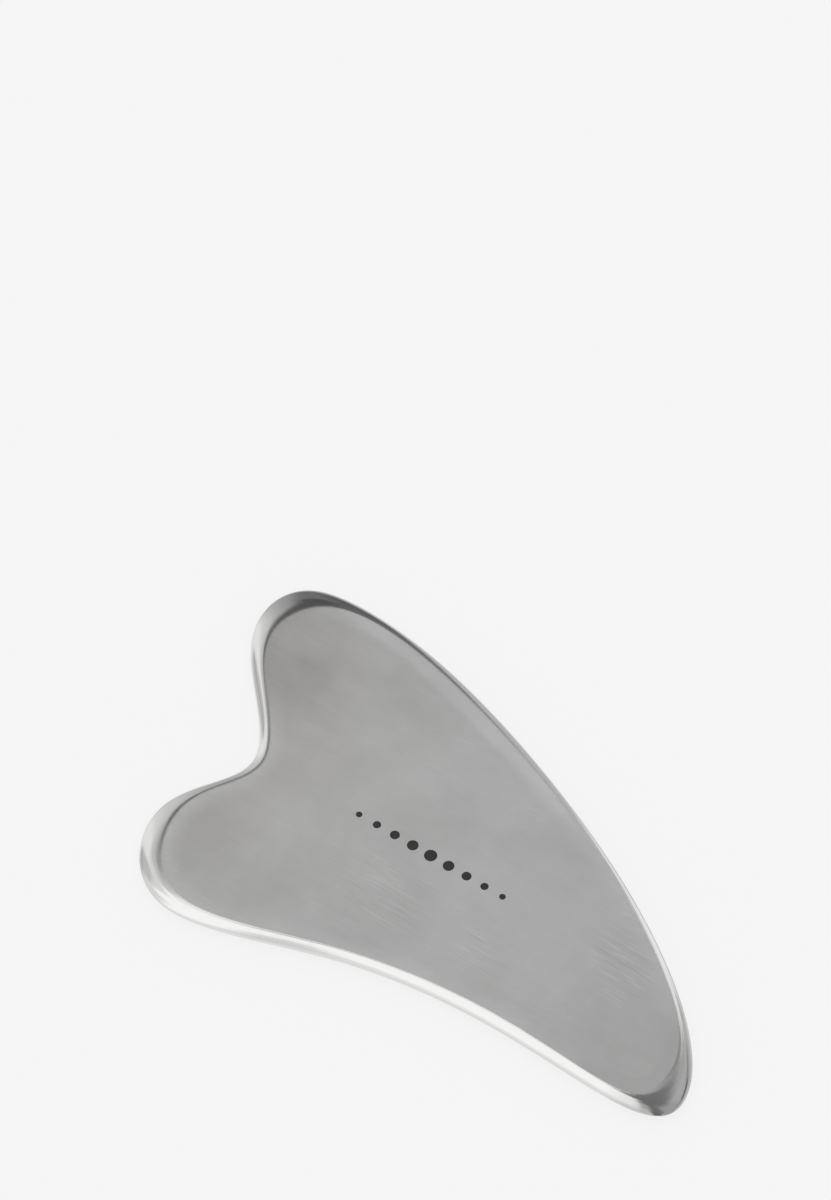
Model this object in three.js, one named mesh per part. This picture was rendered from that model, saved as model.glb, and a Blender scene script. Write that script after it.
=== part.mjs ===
// Gua sha scraper: one steel plate with a heart end and a tail, rounded over on its whole edge,
// and a small printed row of dots on its upper face.
//
// Millimetres. +X runs from the heart end to the tip, +Y points to the side of the upper lobe,
// and +Z is up. The plate lies on its lower face, and the origin is the centre of the plate's
// bounding rectangle, in the plane of that face.

import * as THREE from 'three';

// ---- driving dimensions ----

const PLATE_THICKNESS = 3;

// The corners that pull the plate into shape, counter-clockwise seen from above. The outline and
// the border of the flat face are each the smooth closed spline over their own corners, and the
// rounded edge spans the gap between the two.
const CORNERS = [
  { outline: [48.5, -27.75], face: [43.5, -24.25] },      // tip
  { outline: [44.0, -14.25], face: [43.0, -15.0] },       // shoulder above the tip
  { outline: [21.0, 6.75], face: [19.0, 6.75] },          // long convex back
  { outline: [-14.5, 26.0], face: [-15.75, 24.25] },      // back, towards the heart end
  { outline: [-36.25, 31.0], face: [-34.75, 29.25] },     // upper lobe, where the back meets it
  { outline: [-45.75, 29.0], face: [-42.25, 24.5] },      // upper lobe, crown
  { outline: [-48.5, 16.25], face: [-44.75, 15.5] },      // upper lobe, side of the notch
  { outline: [-29.75, -3.0], face: [-29.25, -3.25] },     // bottom of the notch
  { outline: [-49.0, -12.0], face: [-44.25, -10.5] },     // lower lobe, side of the notch
  { outline: [-41.0, -35.0], face: [-39.0, -32.5] },      // lower lobe, crown
  { outline: [-10.75, -25.0], face: [-11.25, -24.25] },   // hollow of the long concave edge
  { outline: [17.25, -26.0], face: [17.5, -24.25] },      // concave edge, towards the tip
  { outline: [41.75, -31.75], face: [40.75, -30.75] },    // tip, where the concave edge meets it
];

const STEPS_PER_CORNER = 12;   // outline points for each corner
const EDGE_STEPS = 8;          // facets from the upper face round the edge to the lower face

const MARK_LENGTH = 26.5;      // from end to end of the row of dots
const MARK_CENTRE = { x: -4.8, y: -5.2 };
const MARK_TURN = THREE.MathUtils.degToRad(-7.5);
const DOT_COUNT = 9;
const MIDDLE_DOT_RADIUS = 1.0;
const END_DOT_RADIUS = 0.5;
const INK_THICKNESS = 0.05;
const DOT_SIDES = 20;

// ---- materials ----

const steel = new THREE.MeshStandardMaterial({ color: 0xb4b3b1, roughness: 0.32, metalness: 1 });
const ink = new THREE.MeshStandardMaterial({ color: 0x1b1b1d, roughness: 0.6, metalness: 0 });

// ---- outline ----

// The point of a closed uniform cubic B-spline at parameter t of the given span.
function splinePoint(corners, span, t) {
  const weights = [
    (1 - t) ** 3 / 6,
    (3 * t ** 3 - 6 * t ** 2 + 4) / 6,
    (-3 * t ** 3 + 3 * t ** 2 + 3 * t + 1) / 6,
    t ** 3 / 6,
  ];
  const point = new THREE.Vector2();
  weights.forEach((weight, i) => {
    const [x, y] = corners[(span + i) % corners.length];
    point.add(new THREE.Vector2(x, y).multiplyScalar(weight));
  });
  return point;
}

function closedSpline(corners) {
  const points = [];
  for (let span = 0; span < corners.length; span += 1) {
    for (let step = 0; step < STEPS_PER_CORNER; step += 1) {
      points.push(splinePoint(corners, span, step / STEPS_PER_CORNER));
    }
  }
  return points;
}

// ---- sub-parts ----

// The edge is half an ellipse in section: it leaves the upper face level, stands upright at half
// the thickness, where the outline is, and comes back level to the lower face.
function plateGeometry(outline, faceBorder) {
  const count = outline.length;
  const positions = [];
  for (let ring = 0; ring <= EDGE_STEPS; ring += 1) {
    const angle = Math.PI * (0.5 - ring / EDGE_STEPS);
    const reach = Math.cos(angle);
    const height = PLATE_THICKNESS / 2 * (1 + Math.sin(angle));
    for (let i = 0; i < count; i += 1) {
      const point = faceBorder[i].clone().lerp(outline[i], reach);
      positions.push(point.x, point.y, height);
    }
  }

  const triangles = [];
  for (let ring = 0; ring < EDGE_STEPS; ring += 1) {
    for (let i = 0; i < count; i += 1) {
      const upper = ring * count + i;
      const upperNext = ring * count + (i + 1) % count;
      const lower = upper + count;
      const lowerNext = upperNext + count;
      triangles.push(upper, lower, lowerNext);
      triangles.push(upper, lowerNext, upperNext);
    }
  }
  const lastRing = EDGE_STEPS * count;
  for (const [a, b, c] of THREE.ShapeUtils.triangulateShape(faceBorder, [])) {
    triangles.push(a, b, c);
    triangles.push(lastRing + c, lastRing + b, lastRing + a);
  }

  const geometry = new THREE.BufferGeometry();
  geometry.setAttribute('position', new THREE.Float32BufferAttribute(positions, 3));
  geometry.setIndex(triangles);
  geometry.computeVertexNormals();
  return geometry;
}

function scraperBody(outline, faceBorder) {
  const body = new THREE.Mesh(plateGeometry(outline, faceBorder), steel);
  body.name = 'scraper_body';
  return body;
}

// One disc of ink, standing on the plate's upper face.
function printedDot(index, offset, radius) {
  const geometry = new THREE.CylinderGeometry(radius, radius, INK_THICKNESS, DOT_SIDES);
  geometry.rotateX(Math.PI / 2);
  geometry.translate(0, 0, INK_THICKNESS / 2);
  const dot = new THREE.Mesh(geometry, ink);
  dot.position.x = offset;
  dot.name = `printed_dot_${index + 1}`;
  return dot;
}

// A row of dots, largest in the middle and smaller towards both ends.
function printedMark() {
  const mark = new THREE.Group();
  const middle = (DOT_COUNT - 1) / 2;
  const pitch = (MARK_LENGTH / 2 - END_DOT_RADIUS) / middle;
  for (let i = 0; i < DOT_COUNT; i += 1) {
    const outward = Math.abs(i - middle) / middle;
    const radius = THREE.MathUtils.lerp(MIDDLE_DOT_RADIUS, END_DOT_RADIUS, outward);
    mark.add(printedDot(i, (i - middle) * pitch, radius));
  }
  mark.position.set(MARK_CENTRE.x, MARK_CENTRE.y, PLATE_THICKNESS);
  mark.rotation.z = MARK_TURN;
  return mark;
}

// ---- assembly ----

const outline = closedSpline(CORNERS.map((corner) => corner.outline));
const faceBorder = closedSpline(CORNERS.map((corner) => corner.face));

const scraper = new THREE.Group();
scraper.add(scraperBody(outline, faceBorder));
scraper.add(printedMark());

// The corners are measured from a point near the middle, so the finished plate is centred here.
const centre = new THREE.Box2().setFromPoints(outline).getCenter(new THREE.Vector2());
scraper.position.set(-centre.x, -centre.y, 0);

export default scraper;
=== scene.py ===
# The looks of the gua sha scraper: the steel plate as one smooth surface, its printed dots, a pale
# floor and soft studio light. Metres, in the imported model's frame.

import math

import bpy
import numpy as np
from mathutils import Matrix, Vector


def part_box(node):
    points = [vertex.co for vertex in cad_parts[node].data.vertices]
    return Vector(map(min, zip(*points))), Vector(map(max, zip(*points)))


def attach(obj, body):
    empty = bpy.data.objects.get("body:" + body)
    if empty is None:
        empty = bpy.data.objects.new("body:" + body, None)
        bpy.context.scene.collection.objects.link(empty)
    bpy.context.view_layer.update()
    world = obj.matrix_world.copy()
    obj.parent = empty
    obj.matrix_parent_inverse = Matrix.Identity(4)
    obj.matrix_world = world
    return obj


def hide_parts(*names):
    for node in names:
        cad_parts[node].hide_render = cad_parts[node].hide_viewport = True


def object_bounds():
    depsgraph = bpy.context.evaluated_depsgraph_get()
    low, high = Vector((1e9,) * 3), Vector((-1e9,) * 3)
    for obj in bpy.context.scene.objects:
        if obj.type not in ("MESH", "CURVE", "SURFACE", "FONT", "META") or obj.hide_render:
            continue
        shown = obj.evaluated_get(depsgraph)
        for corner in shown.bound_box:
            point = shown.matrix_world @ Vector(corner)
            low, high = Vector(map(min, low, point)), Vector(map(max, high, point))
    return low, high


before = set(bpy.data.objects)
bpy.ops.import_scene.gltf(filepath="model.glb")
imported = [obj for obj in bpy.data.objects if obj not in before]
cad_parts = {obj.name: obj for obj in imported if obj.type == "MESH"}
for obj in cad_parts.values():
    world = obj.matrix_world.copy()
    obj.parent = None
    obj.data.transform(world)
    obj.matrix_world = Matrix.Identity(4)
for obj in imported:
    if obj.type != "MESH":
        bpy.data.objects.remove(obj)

CAD_LOW, CAD_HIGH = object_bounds()

# ---- driving values ----

MM = 0.001
MICRON = MM / 1000
PLATE = "scraper_body"
DOTS = sorted(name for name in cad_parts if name.startswith("printed_dot"))

VIEW_AZIMUTH = 26.0                     # the camera stands this far round from -Y towards +X
VIEW_ELEVATION = 58.4
LENS_MM = 400
SENSOR_MM = 36                          # the long side of the picture
PICTURE_HEIGHT = 177.4 * MM             # what the long side takes in, at the scraper
RIGHT_OF_CENTRE = 9.12 * MM             # where the plate's middle sits in the picture
BELOW_CENTRE = 36.45 * MM

OUTLINE_POINTS = 960
EDGE_STEPS = 32                         # strips from the upper face round the edge to the lower
EDGE_GIRTH = 5 * MM                     # about how far it is round the edge, from face to face
RIM_WIDTH = 3 * MM                      # how far the rim of a face, painted brighter, reaches in from its border
RIM_STEPS = 4
DOT_SIDES = 64
DOT_EDGE_STEPS = 4

NOISE_LOW = 0.3                         # most of a soft noise lies between these two
NOISE_HIGH = 0.7

CLOUD_SIZE = 14 * MM                    # the faces' cloudy patches
CLOUD_TONE = 0.16                       # how much brighter the brightest cloud is, from 0 to 1
MOTTLE_SIZE = 3 * MM                    # smaller patches
MOTTLE_TONE = 0.07
MOTTLE_RELIEF = 2.5                     # their height, in microns
GRIND_TURN = -6.5                       # degrees from +X: the way the faces were ground
GRIND_WIDTH = 0.6 * MM                  # the faint lines that grinding left
GRIND_STRETCH = 20
GRIND_TONE = 0.05
GRIND_ROUGHNESS = 0.01
FACE_ROUGHNESS = (0.29, 0.33)

# Handling scratches: degrees from the way of grinding, width and length in millimetres, and the
# height of noise at which a line begins, so that a higher one gives fewer lines.
LIGHT_SCRATCHES = (0, 0.11, 3, 0.56)
DARK_SCRATCHES = (-4, 0.13, 4, 0.60)
STRAY_SCRATCHES = (5, 0.12, 3, 0.74)
SCRATCH_SOFTNESS = 0.12
# Scratches are real marks; how much lighter or darker they are painted stands for the light they catch:
# painted glints and painted shade.
LIGHT_SCRATCH_GLINT = 0.5
DARK_SCRATCH_SHADE = -0.55
SCRATCH_ROUGHNESS = 0.08
SCRATCH_RELIEF = -2.5                   # microns

EDGE_BLEND = 0.2                        # how far round the edge the face's satin fades into its polish
EDGE_ROUGHNESS = (0.10, 0.15)
POLISH_SIZE = 0.5 * MM                  # fine unevenness, drawn out along the edge
POLISH_SQUEEZE = (0.25, 0.25, 1)
POLISH_RELIEF = 1.8                     # microns, as are the next two
CHATTER_SIZE = 0.35 * MM                # marks across the edge
CHATTER_SQUEEZE = (1, 1, 0.15)
CHATTER_RELIEF = 3
WAVE_SIZE = 4 * MM                      # slow ripples
WAVE_RELIEF = 10

# Places on the plate, as soft round spots: x, y and reach in millimetres, and how strong each is.
# Painted reflections on the faces: places painted brighter or darker, as the studio's light and dark
# fall on them.
FACE_PAINTED_REFLECTIONS = [
    (0, 0, 57, 0.26),                   # the middle, painted brighter
    (-13, 16, 32, 0.30),                # along the back
    (-27, 27, 10, 0.25),                # the same, next to the upper lobe
    (-16, 23, 10, 0.25),                # and farther along
    (-20, -7, 15, 0.30),                # before the first printed dot
    (5, 2, 12, 0.15),                   # above the printed dots
    (-42, -9, 8, 0.25),                 # the lower lobe, by the notch
    (38, -22, 19, -0.16),               # the tip
]
RIM_PAINTED_HIGHLIGHT = 0.18                         # painted highlight: how much brighter the rim of a face is painted than its middle
# Painted highlight and painted shade on the rim of the face, place by place
RIM_PAINTED_LIGHT_AND_SHADE = [
    (-15, 24, 38, 0.95),                # rim along the back
    (-41, -16, 18, 0.30),               # rim of the lower lobe
    (45, -28, 22, -0.60),               # rim of the tip
    (42, -31, 14, -0.45),               # the same, at its very end
    (-45, 18, 20, -0.50),               # rim of the upper lobe, by the notch
]
EDGE_TONE = 0.5                         # where the edge's own colour lies between its painted shade and its painted highlight
# Painted reflections on the edge: places painted darker or brighter than its own colour.
EDGE_PAINTED_REFLECTIONS = [
    (-43, 28.5, 10, -0.36),             # edge of the upper lobe, at its crown
    (-46.5, 25, 6, -0.38),              # the same, towards the notch
    (41, -30, 7, -0.32),                # edge of the tip
    (23, 4, 10, -0.15),                 # middle of the back
    (43, -15, 7, 0.20),                 # back, by the tip
    (-27, 28.5, 10, 0.23),              # back, by the upper lobe
]
LINE_START = 0.93                       # where in the rim the painted dark line round the face starts
# Where that painted dark reflection shows, and how strongly.
LINE_TONES = [
    (-38, 0, 15, 0.9),                  # that line, in the notch
    (46, -20, 10, 1),                   # the same, by the tip
]
WARM = [
    (-42, 8, 50, 1),                    # the heart end's steel looks slightly warmer
]
HANDLED = [
    (29, -9.5, 10, 1),                  # by the back, towards the tip
    (-9, -14.5, 13, 0.65),              # below the printed dots
    (9, -16.5, 8, 0.8),                 # beside those
    (-31, -26, 5, 1),                   # the lower lobe
]

# The face's colour: clouds and grind lines move it between these two, and so do the painted
# reflections, rim highlight and scratch glints.
DULL_STEEL = (0.660, 0.659, 0.656, 1)
WARM_DULL_STEEL = (0.674, 0.660, 0.634, 1)
BRIGHT_STEEL = (0.930, 0.929, 0.928, 1)
# A painted dark reflection along the border of the face
PAINTED_DARK_REFLECTION = (0.300, 0.299, 0.297, 1)
# The edge's colour with painted shade, and with a painted highlight
SHADED_EDGE = (0.400, 0.398, 0.396, 1)
LIT_EDGE = (0.910, 0.906, 0.900, 1)

DARK_INK = (0.010, 0.010, 0.011, 1)
PALE_INK = (0.026, 0.026, 0.028, 1)
SPECKLE_SIZE = 0.12 * MM                # fine grain in the ink
SPECKLE_NOISE = (0.35, 0.7)             # most of that grain lies between these two
SPECKLE_TONE = (0.6, 1)
SPECKLE_RELIEF = 4 * MICRON
PATCH_SIZE = 0.8 * MM                   # where the ink lies thicker and thinner
PATCH_TONE = (0.7, 1)
INK_ROUGHNESS = (0.5, 0.7)

FLOOR_HALF_SIDE = 30
FLOOR_WHITE = 0.14                      # what the floor returns of the sky's light
FLOOR_GLOW = 0.791                      # what it adds of its own, as a light table does
SKY_STRENGTH = 0.92                     # as bright as the floor, so no horizon shows

DOME_RADIUS = 0.8
DOME_BASE = 0.24                        # the dark of the studio between its panels
# What the steel mirrors: panels on a dome round the scraper, each painted over those before it.
# Azimuth from, to, elevation from, to, width of the soft border (all degrees), and radiance.
PANELS = [
    (-200, 200, -99, -5, 9, 0.92),      # the table
    (60, 200, -99, -5, 20, 0.72),       # the table's far side
    (-180, -145, -99, -5, 16, 0.80),    # the table's far left
    (-143, -106, -99, -4, 8, 1.05),     # the table under the window
    (-70, -27, -99, -5, 13, 1.04),      # the table under the key light
    (-70, -32, -32, 0, 18, 1.20),       # the same, where it is nearest the light
    (12, 60, -99, -5, 10, 0.52),        # the table, near right
    (-10, 13, -60, -3, 8, 0.20),        # the black gap in front
    (19, 92, -6, 65, 22, 0.48),         # right wall
    (80, 136, -6, 65, 20, 0.57),        # right wall, farther round
    (122, 180, 48, 64, 8, 0.52),        # its top, which leans over the back
    (62, 88, 5, 19, 9, 0.34),           # low flag in front of the right wall
    (84, 107, 14, 28, 7, 0.17),         # its middle
    (104, 124, 20, 33, 7, 0.36),        # its far end
    (133, 148, -20, 43, 6, 1.18),       # strip light behind, right
    (141, 156, 38, 51, 6, 1.05),        # where it leans over
    (149, 168, 49, 58, 6, 1.06),        # its upper end
    (148, 161, -9, 44, 7, 0.64),        # its stand
    (160, 179, 43, 60, 7, 0.66),        # card beside the flag
    (-175, -157, -9, 46, 8, 0.66),      # wall behind, beside the flag
    (-160, -144, -9, 51, 8, 0.82),      # wall behind, left
    (161, 181, 8, 41, 7, 0.15),         # black flag behind
    (178, 192, -5, 37, 10, 0.28),       # its lower left part
    (179, 190, 34, 56, 6, 0.10),        # its upper end
    (-185, -159, 49, 59, 6, 0.14),      # flag above that wall
    (-188, -168, 42, 53, 7, 0.14),      # its lower part
    (-146, -122, -9, 49, 14, 1.12),     # window strip, left
    (-97, -22, -9, 60, 14, 1.38),       # key light, lower part
    (-128, -28, 55, 79, 10, 1.38),      # key light, upper part
    (-113, -95, 34, 58, 10, 1.02),      # key light, its far end
    (-110, -66, -9, 31, 22, 0.98),      # key light, where it falls off
    (-122, -105, -34, 45, 10, 0.74),    # wall between the key light and the window
    (-124, -109, 5, 16, 7, 0.54),       # gap in that wall
    (-158, -126, 47, 66, 6, 0.72),      # under the key light's arm
    (-136, -108, 44, 58, 8, 0.97),      # the same, nearer the window
    (-162, -148, 53, 59, 5, 0.36),      # end of the flag above the wall
    (-175, -156, 59, 66, 4, 0.70),      # under the arm, nearer the back
    (-176, -105, 65, 78, 6, 1.22),      # key light, its arm over the back
    (-179, -160, 60, 67, 4, 0.90),      # the arm's lower edge
    (-20, -9, 20, 66, 10, 0.62),        # bounce card beside the key light
    (-26, -12, -40, 24, 10, 0.85),      # the same card, nearer the table
]


# ---- helpers ----

def new_object(name, data):
    made = bpy.data.objects.new(name, data)
    bpy.context.scene.collection.objects.link(made)
    return made


def mesh_object(name, points, faces):
    mesh = bpy.data.meshes.new(name)
    mesh.from_pydata([tuple(p) for p in points], [], faces)
    mesh.validate()
    return new_object(name, mesh)


def towards(azimuth, elevation):
    """The direction seen from the scraper. Azimuth 0 is the camera's side and 90 is to its right."""
    turn = math.radians(VIEW_AZIMUTH + azimuth)
    rise = math.radians(elevation)
    flat = math.cos(rise)
    return Vector((math.sin(turn) * flat, -math.cos(turn) * flat, math.sin(rise)))


# ---- camera ----

def make_camera():
    middle = (CAD_LOW + CAD_HIGH) / 2
    back = towards(0, VIEW_ELEVATION)
    right = towards(90, 0)
    up = back.cross(right)
    data = bpy.data.cameras.new("camera")
    data.lens = LENS_MM
    data.sensor_width = SENSOR_MM
    camera = new_object("camera", data)
    camera.location = middle + back * (PICTURE_HEIGHT * LENS_MM / SENSOR_MM)
    aim = middle - right * RIGHT_OF_CENTRE + up * BELOW_CENTRE
    camera.rotation_euler = (aim - camera.location).to_track_quat("-Z", "Y").to_euler()
    bpy.context.scene.camera = camera


# ---- the plate ----

def cad_loop(points, height):
    """The CAD points at one height, once each, counter-clockwise round the origin."""
    level = points[np.abs(points[:, 2] - height) < 0.01 * MM, :2]
    level = np.unique(np.round(level, 7), axis=0)
    return level[np.argsort(np.arctan2(level[:, 1], level[:, 0]))]


def matched(loop, partner):
    """The loop, started at the point that pairs it best with its partner."""
    shifted = [np.roll(loop, shift, axis=0) for shift in range(len(loop))]
    return min(shifted, key=lambda candidate: np.abs(candidate - partner).sum())


def smoothed(loop, count):
    """The closed loop, resampled to count points by its Fourier series."""
    return np.fft.irfft(np.fft.rfft(loop, axis=0), n=count, axis=0) * (count / len(loop))


def plate_loops():
    """The outline, where the edge stands upright, and the border of the flat face."""
    points = np.array([v.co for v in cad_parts[PLATE].data.vertices], float)
    thickness = points[:, 2].max()
    outline = cad_loop(points, thickness / 2)
    border = matched(cad_loop(points, thickness), outline)
    outline = smoothed(outline, OUTLINE_POINTS)
    outline = np.clip(outline, points.min(axis=0)[:2], points.max(axis=0)[:2])
    return outline, smoothed(border, OUTLINE_POINTS), thickness


def inset(loop, distance):
    """The counter-clockwise loop, moved inwards."""
    along = np.roll(loop, -1, axis=0) - np.roll(loop, 1, axis=0)
    along /= np.linalg.norm(along, axis=1)[:, None]
    inward = np.column_stack([-along[:, 1], along[:, 0]])
    return loop + inward * distance


def plate_rings(outline, border, thickness):
    """Rings from inside the upper face, round the edge, to inside the lower face: each one's points,
    its height, how far round the edge it is (0 on the faces) and how near the faces' border (1)."""
    rim = [step / RIM_STEPS for step in range(RIM_STEPS)]
    upper = [(inset(border, RIM_WIDTH * (1 - part)), thickness, 0, part) for part in rim]
    lower = [(points, 0, 0, part) for points, _, _, part in reversed(upper)]
    edge = []
    for step in range(EDGE_STEPS + 1):
        angle = math.pi * (0.5 - step / EDGE_STEPS)
        points = border + (outline - border) * math.cos(angle)
        edge.append((points, thickness / 2 * (1 + math.sin(angle)), math.cos(angle), 1))
    return upper + edge + lower


def make_plate():
    outline, border, thickness = plate_loops()
    rings = plate_rings(outline, border, thickness)
    count = len(outline)
    grid = np.array([np.column_stack([ring, np.full(count, height)]) for ring, height, _, _ in rings])
    faces = []
    for row in range(len(rings) - 1):
        for i in range(count):
            here, beside = row * count + i, row * count + (i + 1) % count
            faces.append((here, here + count, beside + count, beside))
    last = (len(rings) - 1) * count
    faces.append(tuple(range(count)))
    faces.append(tuple(reversed(range(last, last + count))))
    plate = mesh_object("steel_plate", grid.reshape(-1, 3), faces)
    plate.data.shade_smooth()
    plate.data.normals_split_custom_set_from_vertices(ring_normals(grid).reshape(-1, 3))
    add_attribute(plate.data, "edge_turn", "FLOAT", np.repeat([turn for _, _, turn, _ in rings], count))
    add_attribute(plate.data, "face_rim", "FLOAT", np.repeat([rim for _, _, _, rim in rings], count))
    add_attribute(plate.data, "edge_run", "FLOAT_VECTOR", edge_run(outline, len(rings)))
    return plate


def ring_normals(grid):
    """The surface's normal at each point of the rings, level on both faces and at their borders."""
    along = np.roll(grid, -1, axis=1) - np.roll(grid, 1, axis=1)
    down = np.gradient(grid, axis=0)
    normal = np.cross(down, along)
    normal /= np.linalg.norm(normal, axis=2)[:, :, None]
    normal[:RIM_STEPS + 1] = (0, 0, 1)
    normal[-RIM_STEPS - 1:] = (0, 0, -1)
    return normal


def edge_run(outline, ring_count):
    """Coordinates that follow the edge: round a circle as long as the outline, and up its axis."""
    steps = np.linalg.norm(outline - np.roll(outline, 1, axis=0), axis=1)
    radius = steps.sum() / (2 * math.pi)
    turn = np.cumsum(steps) / radius
    rows = []
    for ring in range(ring_count):
        level = np.full(len(outline), EDGE_GIRTH * (ring - RIM_STEPS) / EDGE_STEPS)
        rows.append(np.column_stack([np.cos(turn) * radius, np.sin(turn) * radius, level]))
    return np.concatenate(rows)


def add_attribute(mesh, name, kind, values):
    field = "vector" if kind == "FLOAT_VECTOR" else "value"
    layer = mesh.attributes.new(name, kind, "POINT")
    layer.data.foreach_set(field, np.ascontiguousarray(values, dtype=np.float32).ravel())


# ---- the printed dots ----

def make_dot(node):
    """One disc of ink with a softly rounded rim, where the CAD disc is."""
    low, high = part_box(node)
    centre = (low + high) / 2
    radius = (high.x - low.x + high.y - low.y) / 4
    film = high.z - low.z
    rim = film
    points, faces = [], []
    for step in range(DOT_EDGE_STEPS + 1):
        angle = math.pi / 2 * step / DOT_EDGE_STEPS
        reach = radius - rim + rim * math.sin(angle)
        height = low.z + film * math.cos(angle)
        for side in range(DOT_SIDES):
            turn = 2 * math.pi * side / DOT_SIDES
            x = centre.x + reach * math.cos(turn)
            y = centre.y + reach * math.sin(turn)
            points.append((x, y, height))
    for step in range(DOT_EDGE_STEPS):
        for side in range(DOT_SIDES):
            here = step * DOT_SIDES + side
            beside = step * DOT_SIDES + (side + 1) % DOT_SIDES
            faces.append((here, here + DOT_SIDES, beside + DOT_SIDES, beside))
    faces.append(tuple(range(DOT_SIDES)))
    last = DOT_EDGE_STEPS * DOT_SIDES
    faces.append(tuple(reversed(range(last, last + DOT_SIDES))))
    dot = mesh_object("ink_" + node.removeprefix("printed_"), points, faces)
    dot.data.shade_smooth()
    return dot


# ---- materials ----

def new_material(name):
    material = bpy.data.materials.new(name)
    material.use_nodes = True
    tree = material.node_tree
    return material, tree, tree.nodes["Principled BSDF"]


def add_node(tree, kind, inputs, **settings):
    """A node with its settings made, and each input given a value or linked to a socket."""
    node = tree.nodes.new("ShaderNode" + kind)
    for name, value in settings.items():
        setattr(node, name, value)
    for name, value in inputs.items():
        if isinstance(value, bpy.types.NodeSocket):
            tree.links.new(value, node.inputs[name])
        else:
            node.inputs[name].default_value = value
    return node


def maths(tree, operation, first, second):
    return add_node(tree, "Math", {0: first, 1: second}, operation=operation).outputs[0]


def total(tree, *terms):
    """The sum of the terms."""
    result = terms[0]
    for term in terms[1:]:
        result = maths(tree, "ADD", result, term)
    return result


def times(tree, first, second):
    return maths(tree, "MULTIPLY", first, second)


def mixed_colour(tree, share, first, second):
    inputs = {"Factor": share, 6: first, 7: second}
    return add_node(tree, "Mix", inputs, data_type="RGBA").outputs[2]


def ramp(tree, value, low, high, low_out, high_out):
    """The value, carried smoothly from one range to another and held inside it."""
    inputs = {"Value": value, "From Min": low, "From Max": high, "To Min": low_out, "To Max": high_out}
    return add_node(tree, "MapRange", inputs, interpolation_type="SMOOTHSTEP").outputs["Result"]


def noise(tree, place, grain, detail=2, roughness=0.5):
    """Soft noise, with lumps about one grain (in metres) across."""
    inputs = {"Vector": place, "Scale": 1 / grain, "Detail": detail, "Roughness": roughness}
    return add_node(tree, "TexNoise", inputs).outputs[0]


def spread(tree, lumps, low, high):
    """Soft noise, carried to the range from low to high."""
    return ramp(tree, lumps, NOISE_LOW, NOISE_HIGH, low, high)


def attribute(tree, name, output):
    return add_node(tree, "Attribute", {}, attribute_name=name).outputs[output]


def squeezed(tree, place, scale):
    """The place, squeezed, so that what is drawn on it comes out longer in that direction."""
    return add_node(tree, "Mapping", {"Vector": place, "Scale": scale}).outputs[0]


def stretched(tree, place, turn, stretch):
    """The place for lines that run the given way, in degrees from +X, and are stretched along it."""
    turned = add_node(tree, "Mapping", {"Vector": place, "Rotation": (0, 0, math.radians(-turn))})
    return squeezed(tree, turned.outputs[0], (1 / stretch, 1, 1))


def spots(tree, place, places):
    """The sum of some soft round spots on the plate, each falling to 0 at its reach."""
    heights = []
    for x, y, reach, height in places:
        ends = {0: place, 1: (x * MM, y * MM, 0)}
        distance = add_node(tree, "VectorMath", ends, operation="DISTANCE").outputs["Value"]
        heights.append(times(tree, ramp(tree, distance, 0, reach * MM, 1, 0), height))
    return total(tree, *heights)


# ---- steel ----

def scratches(tree, place, kind):
    """Fine lines: the crests of long thin noise. 1 on a line and 0 between them."""
    turn, width, length, rarity = kind
    way = stretched(tree, place, GRIND_TURN + turn, length / width)
    lines = noise(tree, way, 2 * width * MM, 1)
    return ramp(tree, lines, rarity, rarity + SCRATCH_SOFTNESS, 0, 1)


def scratch_marks(tree, place, on_face):
    """Scratches in the handled places, with a few strays elsewhere: the light ones get a painted glint
    and the dark ones painted shade.
    """
    handled = times(tree, maths(tree, "MINIMUM", spots(tree, place, HANDLED), 1), on_face)
    light = times(tree, scratches(tree, place, LIGHT_SCRATCHES), handled)
    dark = times(tree, scratches(tree, place, DARK_SCRATCHES), handled)
    stray = times(tree, scratches(tree, place, STRAY_SCRATCHES), on_face)
    return maths(tree, "MAXIMUM", light, stray), dark


def face_noises(tree, place):
    clouds = noise(tree, place, CLOUD_SIZE, 3)
    mottle = noise(tree, place, MOTTLE_SIZE)
    grind = noise(tree, stretched(tree, place, GRIND_TURN, GRIND_STRETCH), GRIND_WIDTH)
    return clouds, mottle, grind


def edge_noises(tree):
    """The edge's noises run along it, not across the plate."""
    run = attribute(tree, "edge_run", "Vector")
    polish = noise(tree, squeezed(tree, run, POLISH_SQUEEZE), POLISH_SIZE, 3, 0.6)
    chatter = noise(tree, squeezed(tree, run, CHATTER_SQUEEZE), CHATTER_SIZE)
    waves = noise(tree, run, WAVE_SIZE, 1)
    return polish, chatter, waves


def face_colour(tree, place, clouds, mottle, grind, light, dark):
    """Cloudy, faintly lined steel, warmer at the heart end, with painted reflections that make it
    brighter or darker in places and on its rim, and painted glints and shade on its scratches.
    """
    # The rim is painted brighter, more along the back and darker at the tip: a painted highlight and
    # painted shade where the face starts to curve into the edge.
    rim = ramp(tree, attribute(tree, "face_rim", "Fac"), 0, 1, 0, 1)
    tone = total(
        tree,
        spread(tree, clouds, 0, CLOUD_TONE),
        spread(tree, mottle, 0, MOTTLE_TONE),
        spread(tree, grind, 0, GRIND_TONE),
        spots(tree, place, FACE_PAINTED_REFLECTIONS),
        times(tree, rim, total(tree, spots(tree, place, RIM_PAINTED_LIGHT_AND_SHADE), RIM_PAINTED_HIGHLIGHT)),
        times(tree, light, LIGHT_SCRATCH_GLINT),
        times(tree, dark, DARK_SCRATCH_SHADE),
    )
    dull = mixed_colour(tree, spots(tree, place, WARM), DULL_STEEL, WARM_DULL_STEEL)
    return mixed_colour(tree, tone, dull, BRIGHT_STEEL)


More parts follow.
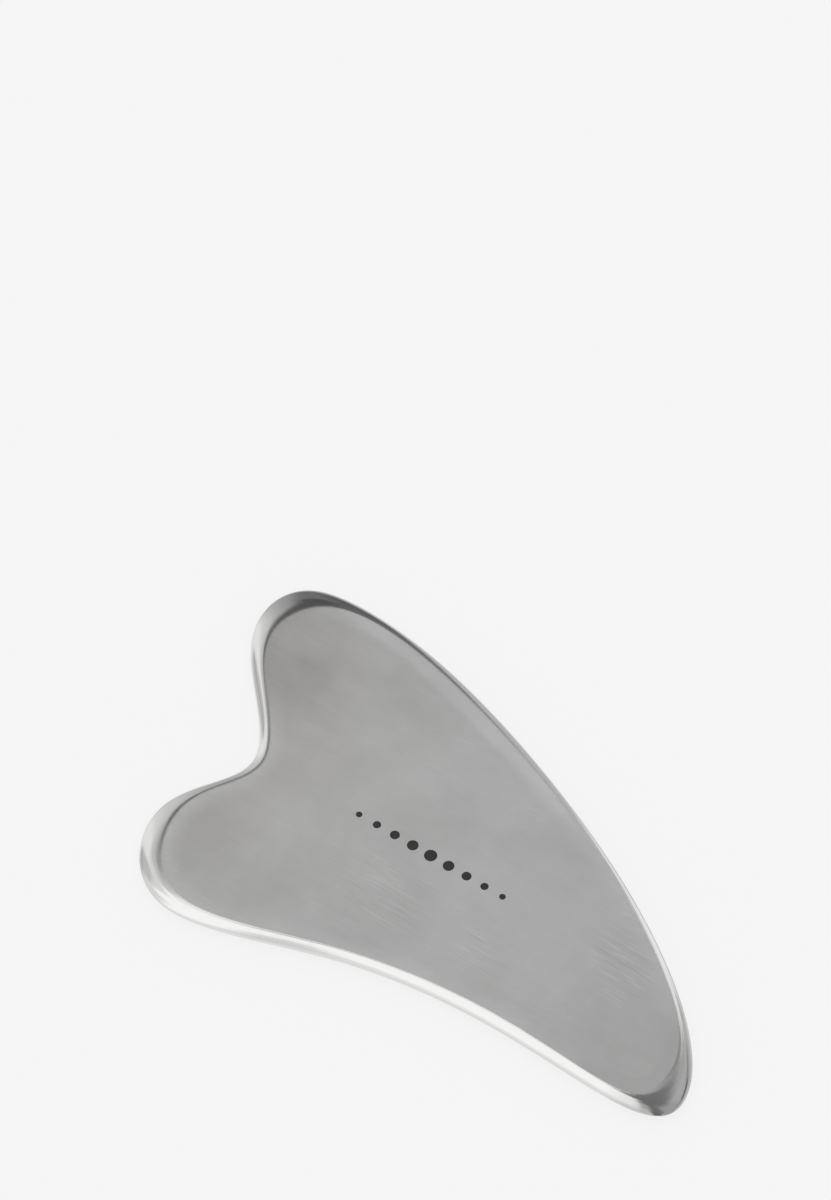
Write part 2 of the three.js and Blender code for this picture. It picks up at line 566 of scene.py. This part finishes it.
def painted_border_reflection(tree, place):
    """A thin dark line painted round the flat face: a painted dark reflection where the face starts to
    curve into the edge.
    """
    inside = ramp(tree, attribute(tree, "face_rim", "Fac"), LINE_START, 1, 0, 1)
    outside = ramp(tree, attribute(tree, "edge_turn", "Fac"), 0, EDGE_BLEND, 1, 0)
    return times(tree, times(tree, inside, outside), spots(tree, place, LINE_TONES))


def edge_colour(tree, place):
    # The edge's own colour, with painted darker and brighter reflections in places.
    tone = total(tree, spots(tree, place, EDGE_PAINTED_REFLECTIONS), EDGE_TONE)
    return mixed_colour(tree, tone, SHADED_EDGE, LIT_EDGE)


def steel_roughness(tree, clouds, grind, marks, polish, on_edge):
    face = total(
        tree,
        spread(tree, clouds, *FACE_ROUGHNESS),
        spread(tree, grind, -GRIND_ROUGHNESS, GRIND_ROUGHNESS),
        times(tree, marks, SCRATCH_ROUGHNESS),
    )
    edge = spread(tree, polish, *EDGE_ROUGHNESS)
    return add_node(tree, "Mix", {"Factor": on_edge, 2: face, 3: edge}).outputs[0]


def edge_relief(tree, polish, chatter, waves):
    return total(
        tree,
        times(tree, polish, POLISH_RELIEF),
        times(tree, chatter, CHATTER_RELIEF),
        times(tree, waves, WAVE_RELIEF),
    )


def steel_material():
    material, tree, shader = new_material("satin_steel")
    place = add_node(tree, "TexCoord", {}).outputs["Object"]
    on_edge = ramp(tree, attribute(tree, "edge_turn", "Fac"), 0, EDGE_BLEND, 0, 1)
    on_face = maths(tree, "SUBTRACT", 1, on_edge)
    clouds, mottle, grind = face_noises(tree, place)
    polish, chatter, waves = edge_noises(tree)
    light, dark = scratch_marks(tree, place, on_face)
    marks = maths(tree, "MAXIMUM", light, dark)

    face = face_colour(tree, place, clouds, mottle, grind, light, dark)
    colour = mixed_colour(tree, on_edge, face, edge_colour(tree, place))
    # the painted dark reflection round the border of the face
    colour = mixed_colour(tree, painted_border_reflection(tree, place), colour, PAINTED_DARK_REFLECTION)
    tree.links.new(colour, shader.inputs["Base Color"])
    roughness = steel_roughness(tree, clouds, grind, marks, polish, on_edge)
    tree.links.new(roughness, shader.inputs["Roughness"])
    shader.inputs["Metallic"].default_value = 1

    face_relief = total(tree, times(tree, mottle, MOTTLE_RELIEF), times(tree, marks, SCRATCH_RELIEF))
    relief = total(
        tree,
        times(tree, face_relief, on_face),
        times(tree, edge_relief(tree, polish, chatter, waves), on_edge),
    )
    bump = add_node(tree, "Bump", {"Height": relief, "Distance": MICRON, "Strength": 1})
    tree.links.new(bump.outputs[0], shader.inputs["Normal"])
    return material


# ---- ink ----

def ink_material():
    material, tree, shader = new_material("black_ink")
    place = add_node(tree, "TexCoord", {}).outputs["Object"]
    speckle = noise(tree, place, SPECKLE_SIZE, 3, 0.7)
    patches = noise(tree, place, PATCH_SIZE)
    grain = ramp(tree, speckle, *SPECKLE_NOISE, *SPECKLE_TONE)
    tone = times(tree, grain, spread(tree, patches, *PATCH_TONE))
    tree.links.new(mixed_colour(tree, tone, DARK_INK, PALE_INK), shader.inputs["Base Color"])
    tree.links.new(spread(tree, speckle, *INK_ROUGHNESS), shader.inputs["Roughness"])
    bump = add_node(tree, "Bump", {"Height": speckle, "Distance": SPECKLE_RELIEF})
    tree.links.new(bump.outputs[0], shader.inputs["Normal"])
    return material


# ---- stage ----

def floor_material():
    material, tree, shader = new_material("pale_floor")
    shader.inputs["Base Color"].default_value = (FLOOR_WHITE, FLOOR_WHITE, FLOOR_WHITE, 1)
    shader.inputs["Roughness"].default_value = 1
    shader.inputs["Specular IOR Level"].default_value = 0
    shader.inputs["Emission Color"].default_value = (1, 1, 1, 1)
    shader.inputs["Emission Strength"].default_value = FLOOR_GLOW
    material.cycles.emission_sampling = "NONE"
    return material


def make_floor():
    side = FLOOR_HALF_SIDE
    corners = [(-side, -side, 0), (side, -side, 0), (side, side, 0), (-side, side, 0)]
    floor = mesh_object("floor", corners, [(0, 1, 2, 3)])
    floor.data.materials.append(floor_material())
    floor.visible_glossy = False


def soft_step(value, edge, softness):
    """0 well below the edge and 1 well above it."""
    t = np.clip((value - edge) / softness + 0.5, 0, 1)
    return t * t * (3 - 2 * t)


def dome_radiance(azimuth, elevation):
    radiance = np.full(azimuth.shape, DOME_BASE)
    for from_azimuth, to_azimuth, from_elevation, to_elevation, softness, level in PANELS:
        middle = (from_azimuth + to_azimuth) / 2
        half = (to_azimuth - from_azimuth) / 2
        aside = np.abs((azimuth - middle + 180) % 360 - 180)
        cover = soft_step(half - aside, 0, softness)
        cover *= soft_step(elevation, from_elevation, softness)
        cover *= soft_step(to_elevation - elevation, 0, softness)
        radiance += (level - radiance) * cover
    return radiance


def make_dome():
    """The studio that the steel mirrors: a glowing dome that only reflections see."""
    azimuths = np.arange(0, 360, 1.0)
    elevations = np.arange(-89, 90, 1.0)
    azimuth, elevation = np.meshgrid(azimuths, elevations)
    points = [towards(a, e) * DOME_RADIUS for a, e in zip(azimuth.ravel(), elevation.ravel())]
    count = len(azimuths)
    faces = []
    for row in range(len(elevations) - 1):
        for i in range(count):
            here, beside = row * count + i, row * count + (i + 1) % count
            faces.append((here, beside, beside + count, here + count))
    top = (len(elevations) - 1) * count
    faces.append(tuple(range(top, top + count)))
    faces.append(tuple(reversed(range(count))))
    dome = mesh_object("studio_dome", points, faces)
    add_attribute(dome.data, "radiance", "FLOAT", dome_radiance(azimuth, elevation))
    material = bpy.data.materials.new("studio_dome")
    material.use_nodes = True
    tree = material.node_tree
    tree.nodes.clear()
    level = add_node(tree, "Attribute", {}, attribute_name="radiance").outputs["Fac"]
    glow = add_node(tree, "Emission", {"Strength": level}).outputs[0]
    add_node(tree, "OutputMaterial", {"Surface": glow})
    material.cycles.emission_sampling = "NONE"
    dome.data.materials.append(material)
    dome.visible_camera = False
    dome.visible_diffuse = False
    dome.visible_shadow = False


def make_sky():
    world = bpy.data.worlds.new("studio")
    world.use_nodes = True
    world.node_tree.nodes["Background"].inputs["Color"].default_value = (1, 1, 1, 1)
    world.node_tree.nodes["Background"].inputs["Strength"].default_value = SKY_STRENGTH
    bpy.context.scene.world = world


# ---- assembly ----

make_camera()
make_sky()
make_floor()
make_dome()

plate = make_plate()
plate.data.materials.append(steel_material())
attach(plate, "root")
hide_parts(PLATE)

ink = ink_material()
for node in DOTS:
    dot = make_dot(node)
    dot.data.materials.append(ink)
    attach(dot, "root")
    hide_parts(node)

bpy.context.scene.view_settings.view_transform = "Standard"
